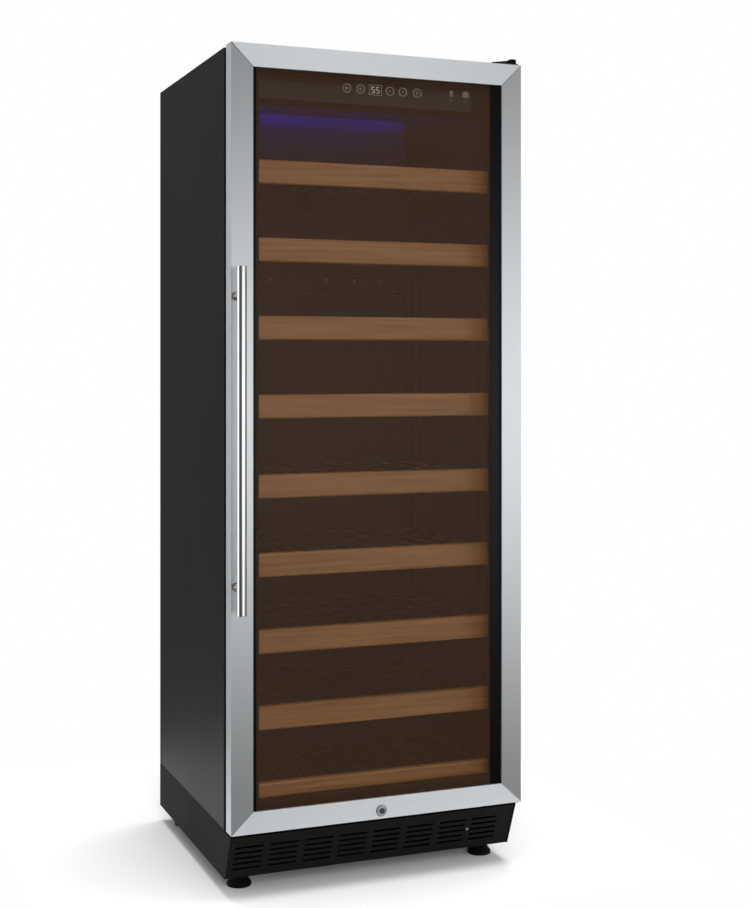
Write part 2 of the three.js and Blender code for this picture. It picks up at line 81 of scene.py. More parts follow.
# %% [markdown]
# ## Colours and nodes
# Paint charts and swatches give colours as sRGB hex codes, but the renderer works in linear light, so one
# function turns one into the other. A second function adds any shader node with its settings and its links,
# which keeps each material down to the few lines that say what is special about it.

# %% Two helpers for materials


def colour(hex_code):
    """An sRGB hex colour as the linear red, green, blue and alpha that shaders take."""
    channels = [int(hex_code[start:start + 2], 16) / 255 for start in (1, 3, 5)]
    linear = [c / 12.92 if c <= 0.04045 else ((c + 0.055) / 1.055) ** 2.4 for c in channels]
    return (*linear, 1.0)


def add(material, kind, inputs=None, **settings):
    """A new node. inputs maps a socket's name or number to a value, or to the socket that feeds it."""
    node = material.node_tree.nodes.new(kind)
    for setting, value in settings.items():
        setattr(node, setting, value)
    for socket, value in (inputs or {}).items():
        if isinstance(value, bpy.types.NodeSocket):
            material.node_tree.links.new(value, node.inputs[socket])
        else:
            node.inputs[socket].default_value = value
    return node


def new_finish(name, hex_code, roughness, metallic=0.0, **sockets):
    """A material with a plain principled surface, ready for a pattern. Returns it and its shader."""
    material = bpy.data.materials.new(name)
    material.use_nodes = True
    shader = material.node_tree.nodes["Principled BSDF"]
    shader.inputs["Base Color"].default_value = colour(hex_code)
    shader.inputs["Roughness"].default_value = roughness
    shader.inputs["Metallic"].default_value = metallic
    for socket, value in sockets.items():
        shader.inputs[socket.replace("_", " ")].default_value = value
    return material, shader


def grain(material, size, detail=2.0, place=(0, 0, 0)):
    """Noise whose blotches are size = (x, y, z) millimetres across, fixed to the piece."""
    coordinates = add(material, "ShaderNodeTexCoord")
    scale = [1 / (length * MM) for length in size]
    mapping = add(material, "ShaderNodeMapping",
                  {"Vector": coordinates.outputs["Object"], "Scale": scale, "Location": place})
    return add(material, "ShaderNodeTexNoise",
               {"Vector": mapping.outputs["Vector"], "Scale": 1.0, "Detail": detail})


def two_tones(material, shader, factor, dark, light):
    """The base colour runs from dark to light as factor goes from 0 to 1."""
    mix = add(material, "ShaderNodeMix", {0: factor, 6: colour(dark), 7: colour(light)}, data_type="RGBA")
    material.node_tree.links.new(mix.outputs[2], shader.inputs["Base Color"])


def vary_roughness(material, shader, factor, low, high):
    spread = add(material, "ShaderNodeMapRange",
                 {"Value": factor, "From Min": 0.3, "From Max": 0.7, "To Min": low, "To Max": high})
    material.node_tree.links.new(spread.outputs["Result"], shader.inputs["Roughness"])


def bump(material, shader, height, depth_mm, strength=1.0):
    node = add(material, "ShaderNodeBump",
               {"Height": height, "Distance": depth_mm * MM, "Strength": strength})
    material.node_tree.links.new(node.outputs["Normal"], shader.inputs["Normal"])


# %% [markdown]
# ## Brushed stainless steel
# The door frame is bright stainless sheet, drawn through an abrasive belt along its length. The belt leaves
# parallel scratches, so a reflection is smeared across them and stays narrow along them: that is anisotropy.
# It needs a direction, which comes from a UV map whose U axis runs across the scratches.
# Real scratches are about 0.05 mm wide, too fine to show here, so they are drawn about 1 mm wide and faint.

# %% Brushed steel, for upright and for level pieces
BRUSH_UV = "brushing"


def brushed_steel(name, scratch_mm):
    material, shader = new_finish(name, "#c6c9cb", 0.38, 1.0, Anisotropic=0.9)
    scratches = grain(material, scratch_mm, detail=3.0)
    two_tones(material, shader, scratches.outputs["Fac"], "#bfc2c5", "#cdd0d2")
    vary_roughness(material, shader, scratches.outputs["Fac"], 0.36, 0.41)
    bump(material, shader, scratches.outputs["Fac"], 0.02, 0.25)
    tangent = add(material, "ShaderNodeTangent", direction_type="UV_MAP", uv_map=BRUSH_UV)
    material.node_tree.links.new(tangent.outputs["Tangent"], shader.inputs["Tangent"])
    return material


UPRIGHT_STEEL = brushed_steel("brushed_stainless_upright", (1.0, 1.0, 160))
LEVEL_STEEL = brushed_steel("brushed_stainless_level", (160, 1.0, 1.0))

# %% [markdown]
# ## Polished stainless steel
# The handle tube and the lock are polished to a mirror. A mirror finish still has slight waves and faint
# wipe marks, which keep it from looking like liquid.

# %% Polished steel
POLISHED_STEEL, shader = new_finish("polished_stainless", "#d9dadb", 0.1, 1.0)
wipes = grain(POLISHED_STEEL, (12, 12, 60), detail=4.0)
vary_roughness(POLISHED_STEEL, shader, wipes.outputs["Fac"], 0.07, 0.14)
bump(POLISHED_STEEL, shader, wipes.outputs["Fac"], 0.01, 0.2)

# %% [markdown]
# ## Powder-coated steel
# The cabinet sheets are steel with a baked black powder coat. The powder melts into a skin with a fine
# orange-peel texture, about 0.8 mm from bump to bump, so highlights break up softly.

# %% Powder coats and zinc


def powder_coat(name, dark, light, roughness, shine=0.3):
    material, shader = new_finish(name, light, roughness, 0.0, Specular_IOR_Level=shine)
    peel = grain(material, (0.8, 0.8, 0.8), detail=1.5)
    clouds = grain(material, (140, 140, 220), detail=2.0)
    two_tones(material, shader, clouds.outputs["Fac"], dark, light)
    vary_roughness(material, shader, clouds.outputs["Fac"], roughness - 0.02, roughness + 0.02)
    bump(material, shader, peel.outputs["Fac"], 0.05, 0.35)
    return material


BLACK_COAT = powder_coat("black_powder_coat", "#191918", "#1c1c1b", 0.5, 0.25)
BASE_COAT = powder_coat("base_powder_coat", "#101010", "#141414", 0.6, 0.06)
WIRE_COAT = powder_coat("black_wire_coat", "#141415", "#1b1b1c", 0.34)

ZINC, shader = new_finish("zinc_coated_sheet", "#9b9fa1", 0.45, 0.85)
coordinates = add(ZINC, "ShaderNodeTexCoord")
SPANGLE_MM = 9
spangle = add(ZINC, "ShaderNodeTexVoronoi",
              {"Vector": coordinates.outputs["Object"], "Scale": 1 / (SPANGLE_MM * MM)})
spangle_tone = add(ZINC, "ShaderNodeSeparateColor", {"Color": spangle.outputs["Color"]})
two_tones(ZINC, shader, spangle_tone.outputs["Red"], "#868a8d", "#a6aaad")
vary_roughness(ZINC, shader, spangle_tone.outputs["Green"], 0.38, 0.52)

# %% [markdown]
# ## Plastics, rubber and foam
# The toe board, feet and caps are moulded in black plastic with a matt grain from the mould. The liner is
# one sheet drawn over a former by vacuum, which stretches its grain out and leaves it satin.

# %% Moulded materials


def moulded(name, dark, light, roughness, grain_mm, depth_mm):
    material, shader = new_finish(name, light, roughness, 0.0, Specular_IOR_Level=0.06)
    texture = grain(material, (grain_mm, grain_mm, grain_mm), detail=3.0)
    two_tones(material, shader, texture.outputs["Fac"], dark, light)
    vary_roughness(material, shader, texture.outputs["Fac"], roughness - 0.06, roughness + 0.06)
    bump(material, shader, texture.outputs["Fac"], depth_mm, 0.5)
    return material


BLACK_ABS = moulded("black_moulded_abs", "#080807", "#0c0c0b", 0.5, 1.2, 0.05)
LINER_PS = moulded("vacuum_formed_liner", "#151413", "#1e1c1b", 0.38, 2.5, 0.04)
SEAL_PVC = moulded("gasket_pvc", "#121110", "#1a1918", 0.62, 0.9, 0.03)
FOAM_PUR = moulded("rigid_foam", "#b9a768", "#d8c98c", 0.9, 3.0, 0.4)
PANEL_ACRYLIC, shader = new_finish("panel_acrylic", "#0d0d0d", 0.12, 0.0, Specular_IOR_Level=0.4)
smears = grain(PANEL_ACRYLIC, (40, 40, 40), detail=2.0)
vary_roughness(PANEL_ACRYLIC, shader, smears.outputs["Fac"], 0.09, 0.16)

# %% [markdown]
# ## Lacquered beech
# The shelf boards are beech: an even, pinkish-brown wood with straight growth lines along the board and
# short darker flecks, the medullary rays. A clear satin lacquer lies on top.

# %% Beech
BEECH, shader = new_finish("lacquered_beech", "#b98452", 0.42, 0.0, Coat_Weight=0.25, Coat_Roughness=0.25)
growth = grain(BEECH, (260, 6, 7), detail=5.0)
flecks = grain(BEECH, (9, 0.9, 0.9), detail=1.0)
tone = add(BEECH, "ShaderNodeMapRange",
           {"Value": growth.outputs["Fac"], "From Min": 0.32, "From Max": 0.68})
lines = add(BEECH, "ShaderNodeMix", {0: tone.outputs["Result"], 6: colour("#8d5f34"), 7: colour("#ae7d49")},
            data_type="RGBA")
fleck_mask = add(BEECH, "ShaderNodeMapRange",
                 {"Value": flecks.outputs["Fac"], "From Min": 0.6, "From Max": 0.75, "To Max": 0.35})
flecked = add(BEECH, "ShaderNodeMix",
              {0: fleck_mask.outputs["Result"], 6: lines.outputs[2], 7: colour("#7c4f2b")}, data_type="RGBA")
BEECH.node_tree.links.new(flecked.outputs[2], shader.inputs["Base Color"])
bump(BEECH, shader, growth.outputs["Fac"], 0.08, 0.3)

# %% [markdown]
# ## Bronze-tinted glass
# The door holds a sealed pair of panes. The outer one is tinted bronze to keep sunlight off the wine. The
# tint is drawn as a thin veil: partly clear, partly a brown that scatters the light of the room. Every look
# through a pane crosses its two faces, so each face gets only its share of the veil. A black ceramic border
# is fired on along the two sides. By the hinges it is drawn wider, and that extra width is painted shade for
# the deep shadow of the door's inner frame. It is opaque, so one mask drives colour and clearness.

# %% Glass
VEIL_OF_PANE = 0.44
VEIL_OF_FACE = 1 - math.sqrt(1 - VEIL_OF_PANE)
BORDER_BY_HANDLE = -287 * MM
# On the hinge side the black reaches further in: past the real border, this is painted shade from the door's
# inner frame.
BORDER_AND_SHADE_BY_HINGE = 269.5 * MM

TINTED_GLASS, shader = new_finish("bronze_tinted_glass", "#57402d", 0.03, 0.0, Specular_IOR_Level=0.06)
coordinates = add(TINTED_GLASS, "ShaderNodeTexCoord")
place = add(TINTED_GLASS, "ShaderNodeSeparateXYZ", {"Vector": coordinates.outputs["Object"]})
by_handle = add(TINTED_GLASS, "ShaderNodeMath", {0: place.outputs["X"], 1: BORDER_BY_HANDLE},
                operation="LESS_THAN")
by_hinge = add(TINTED_GLASS, "ShaderNodeMath", {0: place.outputs["X"], 1: BORDER_AND_SHADE_BY_HINGE},
               operation="GREATER_THAN")
# One mask for the black: the real border by the handle, and border plus painted shade by the hinges.
border_and_hinge_shade = add(TINTED_GLASS, "ShaderNodeMath", {0: by_handle.outputs[0], 1: by_hinge.outputs[0]},
             operation="MAXIMUM")
haze = grain(TINTED_GLASS, (300, 300, 500), detail=1.0)
tint = add(TINTED_GLASS, "ShaderNodeMix",
           {0: haze.outputs["Fac"], 6: colour("#443021"), 7: colour("#4b3626")}, data_type="RGBA")
surface = add(TINTED_GLASS, "ShaderNodeMix",
              {0: border_and_hinge_shade.outputs[0], 6: tint.outputs[2], 7: colour("#050505")}, data_type="RGBA")
TINTED_GLASS.node_tree.links.new(surface.outputs[2], shader.inputs["Base Color"])
cover = add(TINTED_GLASS, "ShaderNodeMapRange",
            {"Value": border_and_hinge_shade.outputs[0], "To Min": VEIL_OF_FACE, "To Max": 1.0})
TINTED_GLASS.node_tree.links.new(cover.outputs["Result"], shader.inputs["Alpha"])

CLEAR_GLASS, shader = new_finish("clear_float_glass", "#3a3f3c", 0.02, 0.0,
                                 Specular_IOR_Level=0.05, Alpha=0.02)
dust = grain(CLEAR_GLASS, (25, 25, 25), detail=4.0)
vary_roughness(CLEAR_GLASS, shader, dust.outputs["Fac"], 0.02, 0.05)

# %% [markdown]
# ## Lamps, symbols and machinery metals
# Touch keys and digits are lit from behind. The cooler's own light is a strip of blue diodes on the ceiling.
# The coils are aluminium on the cold side, and black-painted tube on the hot side.

# %% Lights and coil metals


def lit(name, hex_code, strength):
    material, shader = new_finish(name, hex_code, 0.4)
    shader.inputs["Emission Color"].default_value = colour(hex_code)
    shader.inputs["Emission Strength"].default_value = strength
    glow = grain(material, (6, 6, 6), detail=0.0)
    vary_roughness(material, shader, glow.outputs["Fac"], 0.35, 0.5)
    return material


SYMBOL_LIGHT = lit("symbol_light", "#b9b3ab", 0.5)
DIGIT_LIGHT = lit("digit_light", "#d6d4d2", 0.9)
STRIP_LIGHT = lit("blue_diode_lens", "#3b2cff", 6.0)

ALUMINIUM, shader = new_finish("mill_aluminium", "#bfc2c4", 0.38, 1.0)
rolling = grain(ALUMINIUM, (30, 2, 2), detail=3.0)
two_tones(ALUMINIUM, shader, rolling.outputs["Fac"], "#adb0b2", "#c9cbcd")
bump(ALUMINIUM, shader, rolling.outputs["Fac"], 0.03, 0.4)
COIL_PAINT = powder_coat("black_coil_paint", "#101010", "#191919", 0.4)

print("finishes:", len(bpy.data.materials))

# %% [markdown]
# ## From a mesh to a piece
# Every new piece ends the same way: it becomes an object at the origin, is shaded smooth except across real
# edges, rides on the body that carries it on the machine, and takes its finish. If it stands for a piece of
# the solid model, that one is hidden.

# %% Helpers that finish a piece
SMOOTH_UP_TO = math.radians(38)


def finish_piece(name, mesh, material, body, nodes=(), keep_flats=True):
    mesh.materials.clear()
    mesh.materials.append(material)
    for face in mesh.polygons:
        face.use_smooth = True
    mesh.set_sharp_from_angle(angle=SMOOTH_UP_TO)
    piece = bpy.data.objects.new(name, mesh)
    scene.collection.objects.link(piece)
    if keep_flats:
        flats = piece.modifiers.new("flat faces stay flat", "WEIGHTED_NORMAL")
        flats.keep_sharp = True
    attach(piece, body)
    if nodes:
        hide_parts(*nodes)
    return piece


def to_piece(bm, name, material, body, nodes=()):
    mesh = bpy.data.meshes.new(name)
    bm.to_mesh(mesh)
    bm.free()
    return finish_piece(name, mesh, material, body, nodes)


BODY_OF = {node: body for body, nodes in frame["record"]["behaviour"]["bodies"].items() for node in nodes}


def merged_copy(node):
    """The solid piece's surface as a tidy mesh: shared corners, and flat areas without inner lines."""
    bm = bmesh.new()
    bm.from_mesh(frame["nodes"][node].data)
    bmesh.ops.remove_doubles(bm, verts=bm.verts, dist=0.01 * MM)
    bmesh.ops.dissolve_limit(bm, angle_limit=math.radians(0.5), verts=bm.verts, edges=bm.edges,
                             use_dissolve_boundaries=False)
    return bm


def sharp_edges(bm, least=30.0):
    return [edge for edge in bm.edges
            if len(edge.link_faces) == 2 and edge.calc_face_angle(0.0) > math.radians(least)]


def round_edges(bm, width_mm, segments=2, edges=None):
    bmesh.ops.bevel(bm, geom=sharp_edges(bm) if edges is None else edges, offset=width_mm * MM,
                    affect="EDGES", segments=segments, profile=0.5, material=-1, clamp_overlap=True)


def eased(node, material, width_mm, segments=2):
    """The solid piece again, with every hard edge rounded, standing in for it."""
    bm = merged_copy(node)
    round_edges(bm, width_mm, segments)
    return to_piece(bm, f"{node}_eased", material, BODY_OF[node], [node])


def carried(node, material):
    """The solid piece as it is, with a real finish."""
    frame["nodes"][node].data.materials.clear()
    frame["nodes"][node].data.materials.append(material)


# %% [markdown]
# ## The mitred door frame
# Four lengths of folded sheet meet at 45 degrees. Folding steel leaves a small radius on every edge, and that
# radius is what catches the light and draws the frame's outline. The UV map says which way it was brushed.

# %% Door frame
FOLD_MM = 0.8


def brushing_map(bm, across, along):
    """U runs across the scratches on every face, and V along them."""
    uv = bm.loops.layers.uv.new(BRUSH_UV)
    for face in bm.faces:
        for loop in face.loops:
            loop[uv].uv = (across(loop.vert.co), along(loop.vert.co))


for node, material in {
    "door_frame_left": UPRIGHT_STEEL, "door_frame_right": UPRIGHT_STEEL,
    "door_frame_top": LEVEL_STEEL, "door_frame_bottom": LEVEL_STEEL,
}.items():
    bm = merged_copy(node)
    round_edges(bm, FOLD_MM)
    if material is UPRIGHT_STEEL:
        brushing_map(bm, lambda p: p.x + p.y, lambda p: p.z)
    else:
        brushing_map(bm, lambda p: p.z + p.y, lambda p: p.x)
    to_piece(bm, f"{node}_folded", material, "door", [node])

carried("outer_glass", TINTED_GLASS)
carried("inner_glass", CLEAR_GLASS)
carried("glass_spacer", BLACK_ABS)
eased("door_inner_frame", BLACK_ABS, 1.0)
eased("door_gasket", SEAL_PVC, 2.5, 3)
print("door frame built")

# %% [markdown]
# ## Handle
# A polished tube with closed ends stands on two posts. Each post is turned: narrow in the middle, with a
# foot that spreads on the door and a saddle that meets the tube. A turned shape is a profile, spun round.

# %% Turned shapes
FULL_TURN = 2 * math.pi


def turned(profile, centre, axis, segments=48):
    """profile is a list of (radius, distance along axis) in millimetres, from end to end."""
    direction = Vector(axis).normalized()
    side = direction.orthogonal().normalized()
    bm = bmesh.new()
    points = [bm.verts.new(Vector(centre) + (side * r + direction * d) * MM) for r, d in profile]
    rim = [bm.edges.new(pair) for pair in zip(points, points[1:])]
    bmesh.ops.spin(bm, geom=points + rim, cent=Vector(centre), axis=direction, angle=FULL_TURN,
                   steps=segments, use_merge=True)
    bmesh.ops.remove_doubles(bm, verts=bm.verts, dist=0.002 * MM)
    bmesh.ops.recalc_face_normals(bm, faces=bm.faces)
    return bm


def middle(node):
    low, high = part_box(node)
    return (low + high) / 2


bar_low, bar_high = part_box("handle_bar")
bar_radius = (bar_high.x - bar_low.x) / 2 / MM
bar_length = (bar_high.z - bar_low.z) / MM
bar_foot = Vector((middle("handle_bar").x, middle("handle_bar").y, bar_low.z))
END_EASE_MM = 1.2
bm = turned([(0, 0), (bar_radius - END_EASE_MM, 0), (bar_radius - 0.35, 0.35), (bar_radius, END_EASE_MM),
             (bar_radius, bar_length - END_EASE_MM), (bar_radius - 0.35, bar_length - 0.35),
             (bar_radius - END_EASE_MM, bar_length), (0, bar_length)], bar_foot, (0, 0, 1), 64)
to_piece(bm, "handle_tube", POLISHED_STEEL, "door", ["handle_bar"])

for node in ("handle_post_lower", "handle_post_upper"):
    low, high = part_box(node)
    reach = (high.y - low.y) / MM
    foot = Vector((middle(node).x, high.y, middle(node).z))
    bm = turned([(0, 0.2), (8.1, 0.2), (8.4, 0.6), (8.4, 3.6), (7.9, 4.4), (5.8, 5.4), (5.2, 8),
                 (5.2, reach - 8), (6.0, reach - 3), (7.2, reach), (0, reach)], foot, (0, -1, 0))
    to_piece(bm, f"{node}_turned", POLISHED_STEEL, "door", [node])
    # A black washer under each post's foot, which also stands for painted shade: the dark ring of shadow
    # round the foot.
    bm = turned([(8.5, 0.1), (9.3, 0.1), (9.5, 0.5), (9.3, 0.9), (8.5, 1.0), (8.5, 0.1)], foot, (0, -1, 0))
    to_piece(bm, f"{node}_washer", BLACK_ABS, "door")
print("handle tube radius", round(bar_radius, 1), "length", round(bar_length))

# %% [markdown]
# ## Lock
# A small round key lock sits in the middle of the bottom rail. Its chromed collar is domed, and the plug in
# it has a slot for the key. A thin black ring under the collar is painted shade, for the shadow round its
# rim.
# Behind the door the plug carries the cam.

# %% Lock
DARK_NICKEL, shader = new_finish("satin_dark_nickel", "#57585a", 0.28, 1.0)
plating = grain(DARK_NICKEL, (2, 2, 2), detail=3.0)
vary_roughness(DARK_NICKEL, shader, plating.outputs["Fac"], 0.24, 0.34)
frame_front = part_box("door_frame_bottom")[0].y
eased("lock_body", POLISHED_STEEL, 0.7, 3)
eased("lock_plug", DARK_NICKEL, 0.25, 1)
lock_centre = (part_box("lock_body")[0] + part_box("lock_body")[1]) / 2
# Painted shade: a thin black ring under the collar's rim stands for the shadow that the collar casts on the
# rail.
bm = turned([(12.1, 0.05), (12.9, 0.05), (12.9, 0.5), (12.1, 0.7), (12.1, 0.05)],
            (lock_centre.x, frame_front, lock_centre.z), (0, -1, 0), 40)
to_piece(bm, "lock_washer", BLACK_ABS, "door")

# %% [markdown]
# ## Hinges and screws
# The door turns on two pins. The upper bracket is hidden by a soft-edged black cap, and the lower one is a
# bent strip under the door. Screws have a low round head with a sunk socket: one function makes them all.

# %% Hinges and a screw


def add_screw(bm, place, axis, radius_mm=4.0, segments=20):
    """A pan-head screw into an open mesh, its head standing along axis from place."""
    r = radius_mm
    direction = Vector(axis).normalized()
    head = turned([(0, 0), (r, 0), (r, 0.25 * r), (0.86 * r, 0.45 * r), (0.6 * r, 0.56 * r),
                   (0.42 * r, 0.58 * r), (0.36 * r, 0.25 * r), (0, 0.22 * r)], place, direction, segments)
    spare = bpy.data.meshes.new("screw")
    head.to_mesh(spare)
    head.free()
    bm.from_mesh(spare)
    bpy.data.meshes.remove(spare)


eased("top_hinge_cover", BLACK_ABS, 2.2, 3)
eased("top_hinge", BLACK_COAT, 0.6, 2)
eased("bottom_hinge", BLACK_COAT, 0.6, 2)
low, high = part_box("bottom_hinge")
bm = bmesh.new()
for height in (0.45, 0.8):
    place = Vector(((low.x + high.x) / 2, high.y - 3.2 * MM, low.z + (high.z - low.z) * height))
    add_screw(bm, place, (0, -1, 0), 3.2)
to_piece(bm, "bottom_hinge_screws", ZINC, "cabinet")

# %% [markdown]
# ## Cabinet sheets
# Each side is one steel sheet. Its wide middle field is pressed in by less than a millimetre, which stiffens
# it and leaves a border along the front, the top and the back. The border catches a little more light.

# %% Side sheets, lid and back
FRONT_BORDER = 26 * MM
BACK_BORDER = 14 * MM
TOP_BORDER = 34 * MM
PRESS_SLOPE = 2.5 * MM
PRESS_DEPTH = 0.8 * MM

for side, node in ((-1, "left_side_panel"), (1, "right_side_panel")):
    low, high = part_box(node)
    bm = merged_copy(node)
    for place, normal in (((0, low.y + FRONT_BORDER, 0), (0, 1, 0)),
                          ((0, high.y - BACK_BORDER, 0), (0, 1, 0)),
                          ((0, 0, high.z - TOP_BORDER), (0, 0, 1))):
        bmesh.ops.bisect_plane(bm, geom=bm.verts[:] + bm.edges[:] + bm.faces[:], dist=1e-6,
                               plane_co=place, plane_no=normal)
    outer = low.x if side < 0 else high.x
    field = [face for face in bm.faces if abs(face.normal.x) > 0.9
             and abs(face.calc_center_median().x - outer) < 0.1 * MM
             and low.y + FRONT_BORDER < face.calc_center_median().y < high.y - BACK_BORDER
             and face.calc_center_median().z < high.z - TOP_BORDER]
    bmesh.ops.inset_region(bm, faces=field, thickness=PRESS_SLOPE, depth=-PRESS_DEPTH)
    folds = [edge for edge in sharp_edges(bm, 60) if all(abs(v.co.x - outer) < 0.1 * MM for v in edge.verts)]
    round_edges(bm, 1.0, 3, folds)
    to_piece(bm, f"{node}_pressed", BLACK_COAT, "cabinet", [node])

eased("top_panel", BLACK_COAT, 0.9, 3)
print("cabinet sheets built")

# %% [markdown]
# The back is plain zinc-coated sheet, pressed with two long beads so that it doesn't drum, and screwed to the
# folds of the sides. The louvred cover below it comes off to reach the compressor.

# %% Back and service cover
low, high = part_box("rear_panel")
bm = merged_copy("rear_panel")
BEAD_WIDTH = 16 * MM
BEAD_INSET = 90 * MM
for x in (-150 * MM, 150 * MM):
    for edge in (x - BEAD_WIDTH, x + BEAD_WIDTH):
        bmesh.ops.bisect_plane(bm, geom=bm.verts[:] + bm.edges[:] + bm.faces[:], dist=1e-6,
                               plane_co=(edge, 0, 0), plane_no=(1, 0, 0))
for z in (low.z + BEAD_INSET, high.z - BEAD_INSET):
    bmesh.ops.bisect_plane(bm, geom=bm.verts[:] + bm.edges[:] + bm.faces[:], dist=1e-6,
                           plane_co=(0, 0, z), plane_no=(0, 0, 1))
beads = [face for face in bm.faces if face.normal.y > 0.9
         and abs(abs(face.calc_center_median().x) - 150 * MM) < BEAD_WIDTH
         and low.z + BEAD_INSET < face.calc_center_median().z < high.z - BEAD_INSET]
bmesh.ops.inset_region(bm, faces=beads, thickness=5 * MM, depth=-0.9 * MM)
to_piece(bm, "rear_panel_beaded", ZINC, "cabinet", ["rear_panel"])
eased("service_cover", ZINC, 0.25, 1)

bm = bmesh.new()
SCREW_ROWS = 6
SCREW_SUNK = 1.8 * MM
SCREW_FROM_EDGE = 12 * MM
SCREW_FROM_TOP = 40 * MM
BACK_SCREW_RADIUS = 3.0
for row in range(SCREW_ROWS):
    z = low.z + SCREW_FROM_TOP + row * (high.z - low.z - 2 * SCREW_FROM_TOP) / (SCREW_ROWS - 1)
    for x in (low.x + SCREW_FROM_EDGE, high.x - SCREW_FROM_EDGE):
        add_screw(bm, Vector((x, high.y - SCREW_SUNK, z)), (0, 1, 0), BACK_SCREW_RADIUS, 16)
low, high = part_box("service_cover")
COVER_SCREW_FROM_BOTTOM = 14 * MM
for x in (low.x + SCREW_FROM_EDGE, 0, high.x - SCREW_FROM_EDGE):
    for z in (low.z + COVER_SCREW_FROM_BOTTOM, high.z - SCREW_FROM_EDGE):
        add_screw(bm, Vector((x, high.y - SCREW_SUNK, z)), (0, 1, 0), BACK_SCREW_RADIUS, 16)
to_piece(bm, "back_screws", ZINC, "cabinet")

# %% [markdown]
# ## Base, toe board and feet
# The base is a folded tray. In front of it the toe board leans back to leave room for shoes, and its rows of
# slots let the machine breathe. The feet are bells on a screw, turned here from one profile.

# %% Base
eased("base_frame", BASE_COAT, 0.7, 2)
eased("toe_grille", BLACK_ABS, 0.5, 2)
eased("bottom_panel", BASE_COAT, 0.3, 1)

foot_profile = [(0, 0), (24.5, 0), (26.6, 0.8), (27.5, 2.6), (27.3, 6), (25.6, 9.6), (22.4, 13.6),
                (19.6, 18), (18.0, 23), (17.6, 28), (18.2, 33), (19.0, 36), (18.4, 37.5), (6.2, 37.7),
                (5, 38.2), (5, 70.5), (4, 72), (0, 72)]
for node in ("foot_front_left", "foot_front_right", "foot_rear_left", "foot_rear_right"):
    low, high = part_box(node)
    bm = turned(foot_profile, Vector((middle(node).x, middle(node).y, low.z)), (0, 0, 1), 56)
    to_piece(bm, f"{node}_bell", BLACK_ABS, BODY_OF[node], [node])

toe_low, toe_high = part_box("toe_grille")
TOE_SETBACK = 44 * MM
bm = bmesh.new()
TOE_SCREW_X = 222 * MM
add_screw(bm, Vector((TOE_SCREW_X, toe_low.y + TOE_SETBACK / 2, (toe_low.z + toe_high.z) / 2)),
          (0, -1, -0.44), 3.4)
to_piece(bm, "toe_board_screw", ZINC, "cabinet")
print("base built")

# %% [markdown]
# ## Shelves
# A beech board closes the front of each shelf. Behind it lies a rack of welded round wire: a stout outer
# frame, and thinner cross wires bent into cradles, so that bottles don't roll.

# %% Shelf boards
SHELVES = range(1, 10)
for index in SHELVES:
    eased(f"shelf_front_{index}", BEECH, 2.2, 3)
print("boards:", len(SHELVES))

# %% [markdown]
# ### Wire racks
# One wire is a disc pushed from point to point along its path. The cross wires follow a cosine, which gives
# each bottle its own dip.

# %% A wire, and the racks
CRADLE_PITCH = 97 * MM
CRADLE_DIP = 5 * MM


def draw_wire(bm, path, radius, sides=10):
    """A round wire that follows path: a disc is pushed from each point to the next."""
    heading = (path[1] - path[0]).normalized()
    turn = heading.to_track_quat("Z", "Y").to_matrix().to_4x4()
    disc = bmesh.ops.create_circle(bm, cap_ends=True, radius=radius, segments=sides,
                                   matrix=Matrix.Translation(path[0]) @ turn)
    face = disc["verts"][0].link_faces[0]
    start = face.copy()
    start.normal_flip()
    for here, there in zip(path, path[1:]):
        grown = bmesh.ops.extrude_face_region(bm, geom=[face])
        bmesh.ops.delete(bm, geom=[face], context="FACES_ONLY")
        face = next(item for item in grown["geom"] if isinstance(item, bmesh.types.BMFace))
        bmesh.ops.translate(bm, verts=face.verts, vec=there - here)


def cradle_path(x0, x1, y, z, steps_per_cradle=8):
    """A level line with a smooth dip for each bottle."""
    count = round((x1 - x0) / CRADLE_PITCH)
    steps = count * steps_per_cradle
    return [Vector((x0 + (x1 - x0) * s / steps, y,
                    z - CRADLE_DIP * 0.5 * (1 - math.cos(FULL_TURN * count * s / steps))))
            for s in range(steps + 1)]


def build_rack(index):
    node = f"shelf_rack_{index}"
    low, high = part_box(node)
    z = (low.z + high.z) / 2
    stout, fine = 3.0 * MM, 2.0 * MM
    inset = stout + 1 * MM
    x0, x1, y0, y1 = low.x + inset, high.x - inset, low.y + inset, high.y - inset
    bm = bmesh.new()
    for x in (x0, x1):
        draw_wire(bm, [Vector((x, y0, z)), Vector((x, y1, z))], stout)
    for y in (y0, y1):
        draw_wire(bm, [Vector((x0, y, z)), Vector((x1, y, z))], stout)
    rows = 4 if high.y - low.y > 0.35 else 3
    for row in range(rows):
        y = y0 + (y1 - y0) * (row + 0.5) / rows
        draw_wire(bm, cradle_path(x0, x1, y, z - stout * 0.5), fine)
    runners = 12
    for runner in range(1, runners):
        x = x0 + (x1 - x0) * runner / runners
        draw_wire(bm, [Vector((x, y0, z + stout * 0.4)), Vector((x, y1, z + stout * 0.4))], fine * 0.8, 8)
    bmesh.ops.recalc_face_normals(bm, faces=bm.faces)
    return to_piece(bm, f"{node}_wires", WIRE_COAT, BODY_OF[node], [node])


for index in SHELVES:
    rack = build_rack(index)
print("rack faces:", len(rack.data.polygons))

# %% [markdown]
# ## The cold space
# Liner, ladders and evaporator cover are thin mouldings and sheets, so their edges are only eased. A round
# wire guard covers the fan in the cover.

# %% Liner, ladders, cover and guard
eased("inner_liner", LINER_PS, 1.5, 2)
eased("left_shelf_ladder", WIRE_COAT, 0.4, 1)
eased("right_shelf_ladder", WIRE_COAT, 0.4, 1)
eased("evaporator_cover", LINER_PS, 1.0, 2)
eased("control_panel", PANEL_ACRYLIC, 0.8, 2)
carried("foam_insulation", FOAM_PUR)
eased("evaporator", ALUMINIUM, 0.2, 1)
eased("evaporator_fan", BLACK_ABS, 0.3, 1)
eased("light_strip", STRIP_LIGHT, 0.8, 2)

